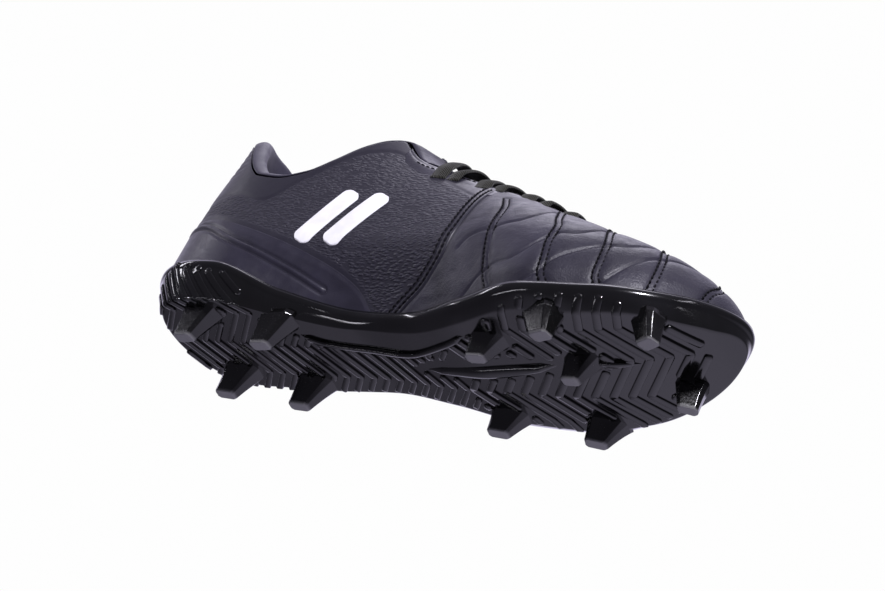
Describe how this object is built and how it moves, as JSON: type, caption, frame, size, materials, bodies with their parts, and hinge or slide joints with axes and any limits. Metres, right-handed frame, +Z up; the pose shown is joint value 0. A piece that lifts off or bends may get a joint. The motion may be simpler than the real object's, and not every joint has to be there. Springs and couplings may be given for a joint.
{
  "type": "football boot",
  "caption": "Left firm-ground football boot: moulded stud plate, quilted leather vamp, textured quarters, laced throat; the forefoot flexes and the tongue's end folds forward.",
  "frame": {"origin": "on the ground under the middle of the boot's bounding box", "axes": "+X heel to toe, +Y the outer side of a left foot, +Z up"},
  "size_m": [0.2702, 0.0908, 0.1111],
  "materials": {
    "plate": "moulded, polished",
    "stud": "moulded, polished",
    "shank": "satin",
    "board": "woven board",
    "sockliner": "knit over foam",
    "vamp_leather": "soft grain",
    "quarter_skin": "pebbled synthetic",
    "overlay": "smooth synthetic",
    "stiffener": "thermoplastic sheet",
    "foam": "open foam",
    "lining": "brushed mesh",
    "tongue": "padded mesh",
    "lace": "flat braid",
    "print": "raised print"
  },
  "bodies": {
    "boot": {"plate_rear": "plate", "arch_spine": "plate", "shank": "shank", "board_rear": "board", "sockliner_rear": "sockliner", "vamp": "vamp_leather", "vamp_crease": "vamp_leather", "quarter_inner": "quarter_skin", "quarter_outer": "quarter_skin", "vamp_foam": "foam", "heel_counter": "stiffener", "collar_foam": "foam", "collar_lining": "lining", "lining_rear": "lining", "lining_vamp": "lining", "eyestay_inner": "overlay", "eyestay_outer": "overlay", "heel_wrap_inner": "overlay", "heel_wrap_outer": "overlay", "backstay": "overlay", "tongue": "tongue", "mark_inner": "print", "mark_outer": "print", "stud_heel_inner_rear": "stud", "stud_heel_outer_rear": "stud", "stud_heel_inner_front": "stud", "stud_heel_outer_front": "stud", "stud_arch_inner": "stud", "stud_arch_outer": "stud", "stud_ball_inner": "stud", "stud_ball_centre": "stud", "stud_ball_outer": "stud", "lace_1": "lace", "lace_2": "lace", "lace_3": "lace", "lace_4": "lace", "lace_5": "lace", "lace_6": "lace", "lace_7": "lace"},
    "forefoot": {"plate_toe": "plate", "board_toe": "board", "sockliner_toe": "sockliner", "vamp_toe": "vamp_leather", "toe_puff": "stiffener", "lining_toe": "lining", "stud_toe_inner": "stud", "stud_toe_outer": "stud"},
    "tongue_end": {"tongue_flap": "tongue"}
  },
  "joints": [
    {"name": "forefoot_flex", "type": "hinge", "parent": "boot", "child": "forefoot", "pos_m": [0.08896, 0, 0.022], "axis": [0, -1, 0], "range_deg": [0, 25], "stiffness_Nm_per_rad": 1.5, "deforming": ["vamp_crease"]},
    {"name": "tongue_fold", "type": "hinge", "parent": "boot", "child": "tongue_end", "pos_m": [-0.02304, -0.00347, 0.0993], "axis": [0, 1, 0], "range_deg": [0, 30], "stiffness_Nm_per_rad": 0.02}
  ]
}
